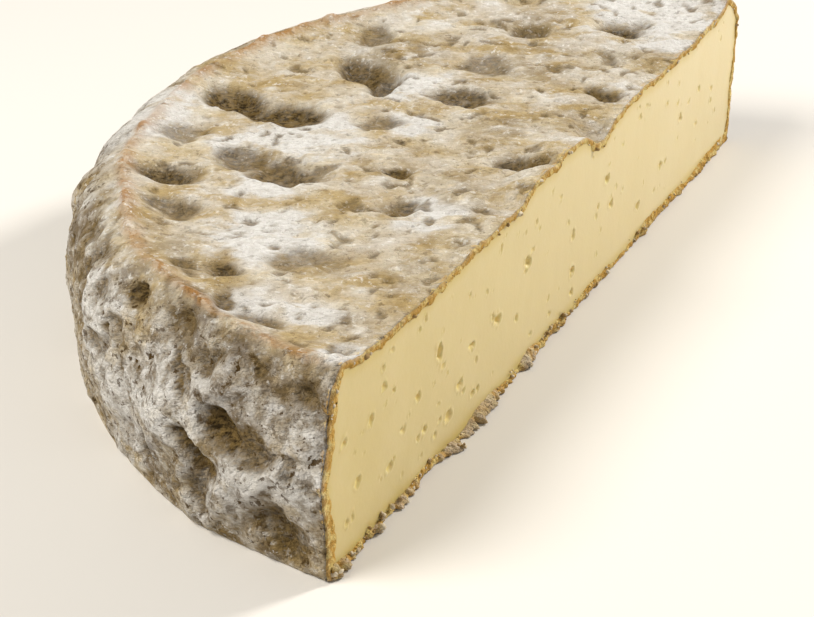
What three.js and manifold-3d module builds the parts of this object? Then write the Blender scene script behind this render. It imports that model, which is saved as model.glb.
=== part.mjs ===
// A half wheel of mountain tomme, lying on its base: a mould-ripened rind with finger-sized hollows,
// a raised rim and a craggy bulging side, cut straight through to a pale paste with small eyes.
// Millimetres, +Z up. The cut faces -Y, and the origin is under the middle of the piece.
import * as THREE from "three";
import { ImprovedNoise } from "three/addons/math/ImprovedNoise.js";
import { mergeVertices } from "three/addons/utils/BufferGeometryUtils.js";
import Module from "manifold-3d";

// Driving dimensions of the wheel. "Along" runs with the cut, "back" runs away from it.
const WIDEST = { along: 110, back: 113 }; // radii at the bulge of the side
const RIM = { along: 101, back: 96.5 }; // radii of the raised ridge round the top
const FOOT = { along: 107.5, back: 110.5 }; // radii where the side meets the ground
const RIM_HEIGHT = 43;
const BULGE_HEIGHT = 17; // the side is widest here
const DISH_DEPTH = 1.6; // the top lies this far below its rim
const DISH_SLOPE = 0.1; // share of the radius over which the top climbs to the rim
const CUT_Y = -55.5; // the cut plane, which puts the piece's middle over the origin

// Unevenness of the hand-made wheel: height and length of its waves
const TOP_WAVES = { height: 1.1, length: 21 };
const SIDE_WAVES = { height: 1.5, length: 20 };
const SIDE_CRAGS = { height: 1.1, length: 9 };
const RIM_WANDER = { height: 1.6, length: 30 };

// The rind at the cut: its thickness, and how far the knife left it standing proud of the paste
const RIND = 2.4;
const TOP_LIP = 0.5;
const FOOT_LIP = { least: 0.4, most: 3.2, length: 7 };

// Mesh density
const TOP_RINGS = 19;
const SIDE_RINGS = 7; // above the bulge, and again below it
const BASE_RINGS = 5;
const SPOKES = 156; // round the whole wheel, before it is cut
const CUT_COLUMNS = 92;
const CUT_ROWS = [-6, 0.3, 1.2, RIND, 4, 12, 22, 32, 38, 40.4, 41.8, 43.2, 52];

// Hollows pressed into the top: [along, back, length, width, turn in degrees, depth]
const TOP_HOLLOWS = [
  [-8.5, 75.5, 27, 13, -82, 4.2],
  [16.5, 63.5, 20, 10, 58, 4.0],
  [17.5, 35.5, 15, 9, -80, 2.8],
  [-34.5, 57.5, 27, 14, 92, 3.8],
  [-3.5, 45.5, 14, 9, -70, 1.6],
  [-24.5, 29.5, 8, 7, 0, 2.2],
  [-38.5, 22.5, 11, 8, -75, 2.2],
  [-9.5, 8.5, 14, 9, -80, 3.0],
  [37.5, 40.5, 15, 11, -60, 2.0],
  [62.5, 40.5, 13, 10, -70, 2.8],
  [75.5, 19.5, 15, 11, -65, 4.2],
  [33.5, 6.5, 12, 9, 75, 2.2],
  [-47.5, 74.5, 17, 10, -70, 3.4],
  [-60.5, 63.5, 18, 9, 90, 2.2],
  [-28.5, 83.5, 17, 10, -55, 2.0],
  [-78.5, 43.5, 14, 9, 80, 2.2],
  [-67.5, 27.5, 14, 11, -65, 1.3],
  [42.5, 73.5, 17, 12, 20, 2.6],
];

// Hollows and crags of the side: [degrees round from the near end, height, length, width, turn, depth]
const SIDE_HOLLOWS = [
  [13, 27, 13, 10, 20, 3.2],
  [16.5, 18, 14, 10, 25, 3.2],
  [9, 25, 11, 9, 10, 1.8],
  [22, 36, 15, 11, 15, 2.2],
  [30, 36, 12, 10, 0, 2.0],
  [5, 9, 14, 12, 0, 2.4],
  [39, 27, 16, 11, 0, 1.8],
];
const HIDDEN_HOLLOWS = { count: 11, from: 56, to: 174, seed: 5 }; // the side away from the view

// Eyes in the cut paste: [along, height, length, width, turn in degrees]
const EYES = [
  [-23, 25.4, 4.6, 3.0, 35],
  [-63.8, 25.2, 4.4, 3.6, 10],
  [-72.8, 18.2, 3.4, 2.2, 60],
  [-49.6, 19.8, 3.4, 2.4, 60],
  [-38, 19.4, 4.4, 3.4, 70],
  [-55.5, 13.0, 4.2, 2.6, 55],
  [-60.3, 7.6, 4.4, 2.2, 60],
  [-70.2, 10.2, 3.4, 2.4, 0],
  [-84.6, 9.6, 4.0, 1.9, 75],
  [-92.2, 25.6, 4.2, 1.9, 45],
  [-103.2, 29.6, 4.4, 1.7, 25],
  [-97.0, 14.8, 4.2, 1.9, 35],
  [-99.6, 8.8, 2.8, 2.2, 0],
  [-86.3, 30.4, 3.0, 1.8, 60],
  [-49.3, 7.6, 3.2, 2.2, 70],
  [1.5, 11.0, 4.2, 2.6, 70],
  [1.4, 5.6, 3.0, 1.8, 60],
  [23.7, 18.4, 3.8, 2.2, 65],
  [41, 10.0, 3.2, 2.0, 65],
  [55.8, 14.8, 3.4, 2.0, 75],
  [68.5, 22.4, 3.4, 2.2, 40],
  [20.6, 26.4, 4.0, 2.2, 80],
  [1.2, 20.0, 4.4, 1.7, 65],
  [81.6, 25.6, 2.8, 1.8, 60],
];
const EYE_DEPTH = 0.8; // share of an eye's width that its bottom lies below the cut

const noise = new ImprovedNoise();
const wasm = await Module();
wasm.setup();

// Deterministic random numbers from 0 to 1
function seededRandom(seed) {
  let state = seed;
  return () => {
    state = (state * 16807) % 2147483647;
    return state / 2147483647;
  };
}

function smoothstep(low, high, value) {
  return THREE.MathUtils.smoothstep(value, low, high);
}

// Two octaves of noise, from about -1 to 1, with waves of the given length
function waves(point, length, offset = 0) {
  const at = (p, scale) => noise.noise(p.x / scale + offset, p.y / scale + offset, p.z / scale);
  return at(point, length) * 1.3 + at(point, length / 2.3) * 0.6;
}

// How deep a rounded hollow is at a distance (across, up) from its middle: 1 there, 0 past its edge
function hollow(across, up, length, width, turn) {
  const angle = THREE.MathUtils.degToRad(turn);
  const along = (across * Math.cos(angle) + up * Math.sin(angle)) / (length / 2);
  const aside = (up * Math.cos(angle) - across * Math.sin(angle)) / (width / 2);
  const distance = Math.hypot(along, aside);
  return 1 - smoothstep(0.15, 1.25, distance);
}

// Outline of the wheel from the middle of the top to the middle of the base, for one of its two radii
function outline(way) {
  const points = [];
  for (let ring = 0; ring < TOP_RINGS; ring++) {
    const share = ring / TOP_RINGS;
    const dish = 1 - smoothstep(1 - DISH_SLOPE, 1, share);
    points.push(new THREE.Vector2(RIM[way] * share, RIM_HEIGHT - DISH_DEPTH * dish));
  }
  for (let ring = 0; ring <= SIDE_RINGS; ring++) {
    const angle = ((ring / SIDE_RINGS) * Math.PI) / 2;
    const out = (WIDEST[way] - RIM[way]) * Math.sin(angle);
    const up = (RIM_HEIGHT - BULGE_HEIGHT) * Math.cos(angle);
    points.push(new THREE.Vector2(RIM[way] + out, BULGE_HEIGHT + up));
  }
  for (let ring = 1; ring <= SIDE_RINGS; ring++) {
    const angle = ((ring / SIDE_RINGS) * Math.PI) / 2;
    const out = (WIDEST[way] - FOOT[way]) * Math.cos(angle);
    points.push(new THREE.Vector2(FOOT[way] + out, BULGE_HEIGHT * (1 - Math.sin(angle))));
  }
  for (let ring = 1; ring <= BASE_RINGS; ring++) {
    points.push(new THREE.Vector2(FOOT[way] * (1 - ring / BASE_RINGS), 0));
  }
  return points;
}

// The side's hollows: those that show, and seeded ones of the same kind round the back
function sideHollows() {
  const random = seededRandom(HIDDEN_HOLLOWS.seed);
  const hidden = Array.from({ length: HIDDEN_HOLLOWS.count }, (_, index) => {
    const span = (HIDDEN_HOLLOWS.to - HIDDEN_HOLLOWS.from) / HIDDEN_HOLLOWS.count;
    const degrees = HIDDEN_HOLLOWS.from + span * (index + random());
    const [length, width] = [13 + 6 * random(), 10 + 4 * random()];
    return [degrees, 9 + 26 * random(), length, width, 60 * random() - 30, 1.3 + 1.7 * random()];
  });
  return [...SIDE_HOLLOWS, ...hidden];
}

// Height of the rind's relief over a point of the top
function topRelief(point) {
  let height = TOP_WAVES.height * waves(point, TOP_WAVES.length);
  for (const [along, back, length, width, turn, depth] of TOP_HOLLOWS) {
    height -= depth * hollow(point.x - along, point.y - back, length, width, turn);
  }
  return height;
}

// How far the rind stands out at a point of the side, whose place round the wheel is in degrees
function sideRelief(point, degrees, hollows) {
  let out = SIDE_WAVES.height * waves(point, SIDE_WAVES.length, 7.3);
  out += SIDE_CRAGS.height * waves(point, SIDE_CRAGS.length, 3.1);
  for (const [round, height, length, width, turn, depth] of hollows) {
    const across = THREE.MathUtils.degToRad(degrees - round) * WIDEST.along;
    out -= depth * hollow(across, point.z - height, length, width, turn);
  }
  return out;
}

// The whole wheel: a lathe of the outline, made oval and given its relief
function wheel() {
  const alongOutline = outline("along");
  const backOutline = outline("back");
  const hollows = sideHollows();
  const geometry = new THREE.LatheGeometry(alongOutline, SPOKES).rotateX(Math.PI / 2);
  const position = geometry.getAttribute("position");
  const point = new THREE.Vector3();
  for (let index = 0; index < position.count; index++) {
    const ring = index % alongOutline.length;
    const angle = (2 * Math.PI * Math.floor(index / alongOutline.length)) / SPOKES;
    const { y: height, x: along } = alongOutline[ring];
    const back = backOutline[ring].x;
    point.set(-along * Math.cos(angle), back * Math.sin(angle), height);
    const degrees = THREE.MathUtils.radToDeg(Math.atan2(point.y, -point.x));
    const rimShare = along / RIM.along;
    const onSide = ring >= TOP_RINGS && height > 0;
    const top = onSide ? smoothstep(RIM_HEIGHT - 9, RIM_HEIGHT, height) : height > 0 ? 1 : 0;
    const side = onSide ? smoothstep(0, 5, height) * (1 - top) : 0;
    const wander = RIM_WANDER.height * waves(point, RIM_WANDER.length, 1.7) * smoothstep(0.75, 1, rimShare);
    const out = side * sideRelief(point, degrees, hollows) + (onSide ? smoothstep(0, 12, height) : top) * wander;
    const spread = along > 0 ? 1 + out / Math.hypot(point.x, point.y) : 1;
    const lift = top * (onSide ? 0.5 : 1 - 0.5 * smoothstep(0.9, 1, rimShare)) * topRelief(point);
    position.setXYZ(index, point.x * spread, point.y * spread, height + lift);
  }
  return geometry;
}

// How far the rind stands proud of the cut paste at a place on the cut: most at the torn foot
function lip(along, height) {
  const point = new THREE.Vector3(along, 0, height);
  const torn = 0.5 + 0.5 * waves(point, FOOT_LIP.length, 5.9);
  const nearHalf = 1 - smoothstep(-60, 40, along);
  const share = THREE.MathUtils.clamp(torn, 0, 1) * (0.45 + 0.55 * nearHalf);
  const foot = FOOT_LIP.least + (FOOT_LIP.most - FOOT_LIP.least) * share;
  const atFoot = 1 - smoothstep(RIND * 0.7, RIND * 1.3, height);
  const atTop = smoothstep(RIM_HEIGHT - DISH_DEPTH - RIND * 1.3, RIM_HEIGHT - DISH_DEPTH - RIND * 0.7, height);
  const atEnds = smoothstep(WIDEST.along - RIND * 3, WIDEST.along - RIND, Math.abs(along));
  return Math.max(foot * atFoot, TOP_LIP * Math.max(atTop, atEnds));
}

// Everything in front of the cut: a box whose back face follows the knife's path and the proud rind
function cutAway() {
  const width = 2 * WIDEST.along + 40;
  const depth = WIDEST.back + 40;
  const rows = CUT_ROWS.length - 1;
  const geometry = new THREE.BoxGeometry(width, depth, rows, CUT_COLUMNS, 1, rows).translate(0, -depth / 2, rows / 2);
  const position = geometry.getAttribute("position");
  for (let index = 0; index < position.count; index++) {
    const along = position.getX(index);
    const height = CUT_ROWS[Math.round(position.getZ(index))];
    const onCut = position.getY(index) > -1;
    position.setXYZ(index, along, onCut ? -lip(along, height) : position.getY(index), height);
  }
  return geometry;
}

// One eye: a squashed ball sunk into the cut
function eye([along, height, length, width, turn]) {
  return new THREE.IcosahedronGeometry(0.5, 1)
    .scale(length, 2 * width * EYE_DEPTH, width)
    .rotateY(-THREE.MathUtils.degToRad(turn))
    .translate(along, 0, height);
}

// A closed geometry as a solid that can be joined and cut
function solidFrom(geometry) {
  const bare = geometry.clone();
  bare.deleteAttribute("normal");
  bare.deleteAttribute("uv");
  const merged = mergeVertices(bare, 1e-3);
  const triangles = [];
  for (let corner = 0; corner < merged.index.count; corner += 3) {
    const [a, b, c] = [0, 1, 2].map((step) => merged.index.getX(corner + step));
    if (a !== b && b !== c && a !== c) triangles.push(a, b, c);
  }
  return new wasm.Manifold(
    new wasm.Mesh({
      numProp: 3,
      vertProperties: merged.getAttribute("position").array,
      triVerts: new Uint32Array(triangles),
    }),
  );
}

// A solid's surface as a geometry
function geometryFrom(solid) {
  const mesh = solid.getMesh();
  const geometry = new THREE.BufferGeometry();
  geometry.setAttribute("position", new THREE.BufferAttribute(new Float32Array(mesh.vertProperties), 3));
  geometry.setIndex(new THREE.BufferAttribute(new Uint32Array(mesh.triVerts), 1));
  geometry.computeVertexNormals();
  return geometry;
}

const halfWheel = EYES.reduce(
  (solid, place) => solid.subtract(solidFrom(eye(place))),
  solidFrom(wheel()).subtract(solidFrom(cutAway())),
);

const cheese = new THREE.Mesh(
  geometryFrom(halfWheel),
  new THREE.MeshStandardMaterial({ color: 0xb7aa8d, roughness: 0.9, metalness: 0 }),
);
cheese.name = "cheese";
cheese.position.y = CUT_Y;

const halfTomme = new THREE.Group();
halfTomme.add(cheese);

export default halfTomme;
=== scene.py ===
"""Looks of a half wheel of mould-ripened tomme: rind, cut paste, torn edge and crumbs, in a plain studio."""

import math
import random

import bmesh
import bpy
import numpy as np
from bpy.props import FloatProperty, FloatVectorProperty, IntProperty, PointerProperty
from mathutils import Matrix, Vector, noise


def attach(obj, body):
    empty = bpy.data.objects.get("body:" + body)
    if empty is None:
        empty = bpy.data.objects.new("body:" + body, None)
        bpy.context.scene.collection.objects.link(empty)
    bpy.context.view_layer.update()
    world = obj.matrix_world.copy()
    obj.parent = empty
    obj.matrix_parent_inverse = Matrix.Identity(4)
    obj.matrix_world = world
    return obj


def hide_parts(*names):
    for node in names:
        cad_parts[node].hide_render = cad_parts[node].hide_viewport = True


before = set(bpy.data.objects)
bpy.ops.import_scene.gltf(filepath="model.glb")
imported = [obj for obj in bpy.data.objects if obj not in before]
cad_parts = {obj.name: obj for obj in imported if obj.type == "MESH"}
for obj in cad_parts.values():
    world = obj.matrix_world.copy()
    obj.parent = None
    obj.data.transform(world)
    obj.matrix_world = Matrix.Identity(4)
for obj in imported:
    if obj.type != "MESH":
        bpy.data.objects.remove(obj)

bl_info = {
    "name": "Half Tomme",
    "version": (1, 0, 0),
    "blender": (4, 5, 0),
    "location": "View3D > Sidebar > Tomme",
    "description": "Builds a half wheel of mould-ripened cheese with its rind, paste and crumbs",
    "category": "Object",
}

MM = 0.001
NODE = "cheese"

# Shapes are worked out in millimetres in the wheel's own axes: x along the cut, y away from it, z up.
# Hollows pressed into the top: along, back, length, width, turn in degrees, depth, darkness.
# A depth below zero is a lump that stands up.
TOP_HOLLOWS = [
    (-7.5, 83.5, 19, 13, -80, 3.6, 0.9),
    (-8.5, 69.5, 20, 12, -85, 3.6, 0.9),
    (24.0, 66.0, 19, 12, 58, 5.0, 0.78),
    (17.0, 58.0, 14, 11, 40, 3.8, 0.78),
    (17.5, 35.5, 15, 8, -80, 2.8, 0.8),
    (-33.5, 65.5, 14, 13, 92, 3.0, 0.67),
    (-34.5, 52.5, 17, 12, 92, 3.6, 0.76),
    (-3.5, 45.5, 14, 8, -70, 1.6, 0.54),
    (-95.5, 2.5, 7, 4, 0, 1.6, 0.45),
    (-24.5, 29.5, 7, 6, 0, 2.2, 0.9),
    (-38.5, 22.5, 11, 7, -75, 2.2, 0.76),
    (-9.5, 8.5, 15, 8, -80, 3.0, 0.8),
    (37.5, 40.5, 15, 10, -60, 2.0, 0.54),
    (62.5, 40.5, 13, 9, -70, 2.8, 0.67),
    (75.5, 19.5, 13, 10, -65, 4.4, 0.9),
    (33.5, 6.5, 12, 8, 75, 2.2, 0.8),
    (55.5, 15.5, 9, 4, 60, 1.2, 0.45),
    (-47.5, 74.5, 15, 9, -70, 3.4, 0.85),
    (-60.5, 64.5, 15, 8, 90, 2.2, 0.63),
    (-28.5, 83.5, 15, 9, -55, 2.0, 0.49),
    (-79.5, 47.5, 8, 6, 80, 1.6, 0.71),
    (-78.5, 39.5, 8, 6, 80, 1.8, 0.8),
    (-88.5, 32.5, 8, 5, 60, 1.6, 0.8),
    (-67.5, 27.5, 15, 10, -65, 1.3, 0.45),
    (-91.5, 23.5, 9, 5, 80, 1.4, 0.63),
    (42.5, 73.5, 15, 11, 20, 2.4, 0.54),
    (-88.3, 31.0, 4, 3, 30, -1.3, 0),
    (-88.0, 27.5, 5, 4, -40, -1.5, 0),
    (-86.5, 22.0, 6, 3, -70, -0.9, 0),
    (-85.3, 16.0, 8, 4, -60, -1.0, 0),
    (-9.0, 1.0, 32, 13, 0, -2.6, 0.0),
    (17.5, 0.0, 17, 15, 0, 3.4, 0.2),
    (-97.5, 1.0, 4, 3, 20, -1.2, 0),
]

# Hollows of the side: degrees round from the near end, height, length, width, turn in degrees, depth,
# darkness. A depth below zero is a lump that stands out.
SIDE_HOLLOWS = [
    (12.0, 25.5, 11, 7, 25, 4.0, 1.0),
    (15.5, 17.5, 14, 7, 30, 4.0, 1.0),
    (8.0, 24.5, 11, 6, 10, 2.2, 0.75),
    (15.0, 10.5, 9, 8, 0, 2.4, 0.7),
    (21.0, 38.5, 13, 7, 15, 2.2, 0.5),
    (15.5, 37.0, 7, 4, 0, 1.4, 0.6),
    (29.5, 38.0, 6, 5, 0, 2.0, 1.0),
    (19.0, 31.0, 12, 3, 55, 1.6, 0.8),
    (3.0, 36.0, 8, 5, 0, 1.4, 0.6),
    (5.0, 7.5, 13, 9, 0, 3.0, 0.7),
    (9.5, 40.0, 6, 4, 0, 1.2, 0.8),
    (39.0, 29.0, 15, 5, 70, 1.4, 0.4),
    (46.0, 38.0, 12, 4, 10, 1.6, 0.6),
    (24.0, 11.0, 8, 3, 70, 1.6, 0.8),
    (32.0, 31.0, 3, 2, 0, 1.2, 1.0),
    (28.0, 24.0, 4, 2, 80, 1.2, 0.9),
    (2.6, 27.0, 6, 5, 0, -1.3, 0.0),
    (3.6, 20.5, 14, 5, 50, -1.6, 0.0),
    (7.8, 18.5, 14, 11, 60, -2.2, 0.0),
    (11.5, 11.0, 9, 13, 20, -1.8, 0.0),
    (20.0, 23.0, 11, 15, 10, -1.4, 0.0),
    (13.5, 33.0, 18, 8, -30, -1.2, 0.0),
    (31.0, 17.0, 14, 12, 20, -1.2, 0.0),
]

# Degrees between which the side is hidden from the photo's view
HIDDEN_FROM = 62
HIDDEN_TO = 176

# Patches of colour on the rind, white, slate grey and olive brown: x, y, z, radius
PATCHES = {
    "bloom": [
        (-44, 53, 42, 7),
        (-26, 70, 42, 8),
        (-63, 41, 42, 12),
        (-40, 15, 42, 8),
        (90, 14, 42, 20),
        (72, 8, 42, 8),
        (-88, 29, 42, 6),
        (-85, 16, 42, 6),
        (-1, 38, 42, 6),
        (-28, 100, 38, 16),
        (-97, 2, 42, 5),
        (20, 48, 42, 12),
        (-18, 55, 41, 13),
        (-109, 5, 24, 10),
        (-109, 14, 18, 11),
        (-105, 24, 31, 8),
        (-106, 28, 12, 7),
        (-101, 42, 26, 10),
        (-97, 52, 18, 11),
        (-90, 62, 30, 10),
    ],
    "slate": [
        (-106, 3, 35, 7),
        (-104, 11, 38, 8),
        (-103, 20, 39, 7),
        (-100, 30, 40, 8),
        (-96, 39, 40, 8),
        (-89, 53, 40, 5),
        (-107, 22, 31, 8),
        (-107, 32, 14, 7),
        (-102, 44, 10, 6),
        (-70, 84, 34, 10),
        (-40, 100, 30, 10),
        (20, 106, 32, 12),
        (80, 74, 34, 12),
    ],
    "olive": [
        (-75, 55, 42, 8),
        (-80, 45, 42, 8),
        (-84, 36, 42, 6),
        (-24, 30, 42, 7),
        (-23, 18, 42, 8),
        (-30, 10, 42, 7),
        (-86, 8, 42, 7),
        (-69, 25, 42, 7),
        (45, 28, 42, 16),
        (58, 6, 42, 9),
        (35, 62, 42, 14),
        (5, 20, 42, 10),
        (70, 40, 42, 12),
        (-63, 5, 42, 8),
        (-48, 4, 42, 7),
        (18, 11, 42, 8),
        (-107, 17, 26, 6),
        (-109, 11, 7, 9),
        (-108, 3, 3, 7),
        (-107, 22, 2, 6),
        (-101, 40, 2, 5),
        (-60, 94, 6, 10),
        (50, 96, 8, 12),
    ],
}

# Eyes in the cut paste: along, height, length, width, turn in degrees
EYES = [
    (-23, 25.4, 4.6, 3.0, 35),
    (-20.6, 27.2, 2.2, 1.6, 60),
    (-64.2, 25.4, 4.2, 3.2, 10),
    (-73.0, 20.0, 2.8, 1.9, 60),
    (-50.0, 19.2, 3.2, 2.2, 60),
    (-37.8, 19.0, 4.6, 3.2, 70),
    (-40.2, 20.8, 2.2, 1.6, 50),
    (-55.6, 12.6, 4.2, 2.4, 55),
    (-53.7, 10.3, 2.2, 1.6, 40),
    (-60.5, 8.0, 4.6, 2.2, 60),
    (-62.8, 21.4, 2.2, 1.4, 60),
    (-70.7, 10.9, 2.8, 2.0, 10),
    (-73.3, 10.5, 2.0, 1.4, 60),
    (-66.5, 6.5, 2.0, 1.4, 45),
    (-79.2, 15.9, 2.0, 1.3, 60),
    (-84.9, 10.8, 3.8, 1.8, 75),
    (-91.4, 25.3, 4.0, 1.7, 45),
    (-101.0, 26.3, 4.2, 1.5, 25),
    (-96.5, 15.1, 4.2, 1.7, 35),
    (-99.1, 8.6, 2.4, 1.8, 0),
    (-101.4, 8.4, 2.0, 1.5, 30),
    (-85.9, 29.8, 2.8, 1.6, 60),
    (-82.3, 26.9, 2.2, 1.3, 60),
    (-86.1, 33.9, 2.6, 1.2, 35),
    (-49.5, 7.7, 3.0, 2.0, 70),
    (-46.8, 7.4, 1.8, 1.3, 40),
    (-47.7, 14.6, 2.2, 1.4, 60),
    (-71.9, 34.7, 2.2, 1.2, 40),
    (-69.5, 35.6, 1.8, 1.1, 40),
    (-42.9, 28.1, 2.0, 1.2, 60),
    (-50.7, 31.5, 2.0, 1.2, 60),
    (-28.5, 14.2, 2.2, 1.4, 70),
    (-20.9, 6.2, 2.2, 1.4, 60),
    (1.5, 11.2, 4.4, 2.6, 70),
    (1.4, 5.7, 2.8, 1.7, 60),
    (23.7, 18.5, 3.8, 2.2, 65),
    (15.6, 21.1, 2.4, 1.4, 60),
    (1.3, 20.2, 4.6, 1.6, 65),
    (41.1, 10.1, 3.2, 2.0, 65),
    (52.6, 9.2, 2.4, 1.5, 60),
    (55.8, 14.7, 3.4, 2.0, 75),
    (44.0, 35.3, 2.2, 1.3, 60),
    (40.4, 33.9, 2.0, 1.2, 60),
    (58.1, 30.3, 2.4, 1.4, 50),
    (68.5, 22.5, 3.4, 2.2, 40),
    (81.6, 25.6, 2.8, 1.7, 60),
    (20.4, 26.2, 4.2, 2.2, 80),
    (-6.2, 32.9, 2.4, 1.3, 60),
    (-18.8, 33.0, 2.0, 1.2, 60),
    (91.4, 18.5, 2.4, 1.4, 60),
    (95.4, 14.1, 2.0, 1.3, 60),
]


def paint(red, green, blue):
    """A colour as seen on screen, 0 to 255, in the linear form that shaders take."""
    def linear(value):
        share = value / 255
        return share / 12.92 if share <= 0.04045 else ((share + 0.055) / 1.055) ** 2.4
    return (linear(red), linear(green), linear(blue), 1.0)


def length_setting(name, description, default):
    """A setting that is a length in metres."""
    return FloatProperty(name=name, description=description, default=default, unit="LENGTH")


def power_setting(name, description, default):
    """A setting that is a light's power in watts."""
    return FloatProperty(name=name, description=description, default=default, unit="POWER")


def number_setting(name, description, default):
    """A setting that is a whole number."""
    return IntProperty(name=name, description=description, default=default, min=0)


def colour_setting(name, description, default):
    """A setting that is a colour."""
    return FloatVectorProperty(name=name, description=description, default=default, size=4, min=0.0, max=1.0,
                               subtype="COLOR")


class TommeWheel(bpy.types.PropertyGroup):
    """Sizes of the wheel that the half was cut from."""

    widest_along: length_setting("Widest Along", "Radius of the bulging side along the cut", 0.110)
    widest_back: length_setting("Widest Back", "Radius of the bulging side away from the cut", 0.113)
    rim_along: length_setting("Rim Along", "Radius of the top's raised rim along the cut", 0.101)
    rim_back: length_setting("Rim Back", "Radius of the top's raised rim away from the cut", 0.0965)
    foot_along: length_setting("Foot Along", "Radius of the foot along the cut", 0.108)
    foot_back: length_setting("Foot Back", "Radius of the foot away from the cut", 0.111)
    height: length_setting("Height", "Height of the rim over the ground", 0.0425)
    bulge: length_setting("Bulge Height", "Height at which the side is widest", 0.017)
    dish: length_setting("Dish", "Depth of the top below its rim", 0.0016)
    cut_y: length_setting("Cut Plane", "Place of the cut plane along Y", -0.0555)


class TommeRind(bpy.types.PropertyGroup):
    """Relief and fineness of the rind."""

    top_lumps: length_setting("Top Lumps", "Height of the top's broad waves", 0.0010)
    side_lumps: length_setting("Side Lumps", "Height of the side's broad waves", 0.0015)
    ridge: length_setting("Rim Ridge", "Height of the crest along the rim", 0.0013)
    spokes: number_setting("Spokes", "Steps round the half wheel", 460)
    hidden: number_setting("Hidden Hollows", "Hollows and lumps on the unseen part of the side", 34)
    seed: number_setting("Seed", "Seed of the unseen part of the side", 5)
    thickness: length_setting("Thickness", "Thickness of the rind where it is cut", 0.0021)
    foot_lip: length_setting("Torn Foot", "How far the torn rind stands out at the foot of the cut", 0.0036)


class TommePaste(bpy.types.PropertyGroup):
    """The cut paste."""

    spacing: length_setting("Spacing", "Fineness of the cut face", 0.00037)
    depth: length_setting("Depth", "How far the modelled paste reaches in", 0.0055)
    eye_depth: FloatProperty(name="Eye Depth", description="Depth of an eye as a share of its width",
                             default=0.3, subtype="FACTOR")
    small_eyes: number_setting("Small Eyes", "Pin-prick eyes besides the larger ones", 70)
    seed: number_setting("Seed", "Seed of the small eyes", 11)


class TommeCrumbs(bpy.types.PropertyGroup):
    """Loose crumbs of rind along the cut."""

    count: number_setting("Count", "Number of crumbs", 300)
    smallest: length_setting("Smallest", "Smallest crumb", 0.0004)
    largest: length_setting("Largest", "Largest crumb", 0.0016)
    seed: number_setting("Seed", "Seed of the crumbs", 3)


class TommeColours(bpy.types.PropertyGroup):
    """Main colours of the rind and the paste."""

    cream: colour_setting("Cream", "Bare rind", paint(233, 220, 193))
    tan: colour_setting("Tan", "Browner parts of the bare rind", paint(202, 178, 130))
    ochre: colour_setting("Ochre", "Small stains on the bare rind", paint(166, 139, 86))
    bloom: colour_setting("Bloom", "White mould", paint(240, 238, 235))
    slate: colour_setting("Slate", "Grey mould on the side", paint(118, 108, 98))
    olive: colour_setting("Olive", "Olive brown patches", paint(136, 111, 60))
    hollow: colour_setting("Hollow", "Darkest part of the hollows", paint(54, 41, 17))
    fuzz: colour_setting("Fuzz", "Lighter grain in the hollows", paint(124, 101, 57))
    rim: colour_setting("Rim", "Crest of the rim", paint(176, 126, 64))
    edge: colour_setting("Cut Edge", "Rind where it is cut", paint(200, 156, 76))
    # The near paste is darker than the far paste as painted shade, away from the key light at the far end.
    paste_near: colour_setting("Near Paste", "Paste at the near end", paint(205, 186, 128))
    paste_far: colour_setting("Far Paste", "Paste at the far end", paint(216, 200, 155))


class TommeStudio(bpy.types.PropertyGroup):
    """Camera, floor and lights."""

    lens: FloatProperty(name="Lens", description="Focal length in mm on a 36 mm sensor", default=78.42)
    key_power: power_setting("Key Power", "Power of the key light", 12.9)
    fill_power: power_setting("Fill Power", "Power of the fill light", 9.0)
    sky: FloatProperty(name="Sky", description="Strength of the even light from all round", default=0.3)


# Way that the wrinkles of the top run, and a turn that stretches noise along it
WRINKLE_TURN = math.radians(-62)
WRINKLE_WAY = np.array([[0.17, 0.88, 0.0], [-0.31, 0.47, 0.0], [0.0, 0.0, 1.0]])

# Section of the cut edge from outside to inside: inset as a share of the rind, millimetres back, share of the
# torn lip forward, and how much of it is cut
BAND_SECTION = [
    (0.3, 2.2, 0.0, 0.0),
    (0.12, 1.1, 0.0, 0.2),
    (0.0, 0.4, -0.1, 0.55),
    (0.04, 0.0, -0.8, 0.75),
    (0.2, 0.0, -1.0, 0.85),
    (0.45, 0.0, -0.9, 1.0),
    (0.7, 0.0, -0.7, 1.0),
    (0.9, 0.05, -0.3, 1.0),
    (1.0, 0.7, 0.0, 1.0),
    (0.8, 2.2, 0.0, 1.0),
]

# Steps round the cut's outline, for the cut edge and for the pieces that follow it
EDGE_STEPS = 1300
OUTLINE_STEPS = 1200

# Reach of the flat maps of the rind and the paste either way from the middle, in millimetres
RIND_REACH = 116
PASTE_REACH = 112

# Masks that the rind's mesh keeps for its colours
RIND_MASKS = ("dark", "rim", "side", "lump", "bloom", "slate", "olive", "edge")

# Camera: place from the cut's middle, and its right and up ways
CAMERA_PLACE = (-0.3265, -0.1365, 0.2061)
CAMERA_RIGHT = (0.4732, -0.8808, -0.0131)
CAMERA_UP = (0.4462, 0.2268, 0.8657)

# Rings of the rind's mesh on the top, the side above and below its bulge, and the base
TOP_RINGS = 128
UPPER_RINGS = 42
LOWER_RINGS = 24
BASE_RINGS = 6
RIM_RING = TOP_RINGS
BULGE_RING = RIM_RING + UPPER_RINGS
FOOT_RING = BULGE_RING + LOWER_RINGS
LAST_RING = FOOT_RING + BASE_RINGS


def smoothstep(low, high, value):
    """A smooth rise from 0 at the low value to 1 at the high one."""
    share = np.clip((value - low) / (high - low), 0.0, 1.0)
    return share * share * (3.0 - 2.0 * share)


def grain(points, size, octaves=2, seed=0.0):
    """Fractal noise at each point, about -1 to 1, with lumps of the given size."""
    places = points / size + np.array([seed, 1.7 * seed, 0.6 * seed])
    return np.array([noise.fractal(place, 1.0, 2.0, octaves) for place in places.tolist()])


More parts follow.
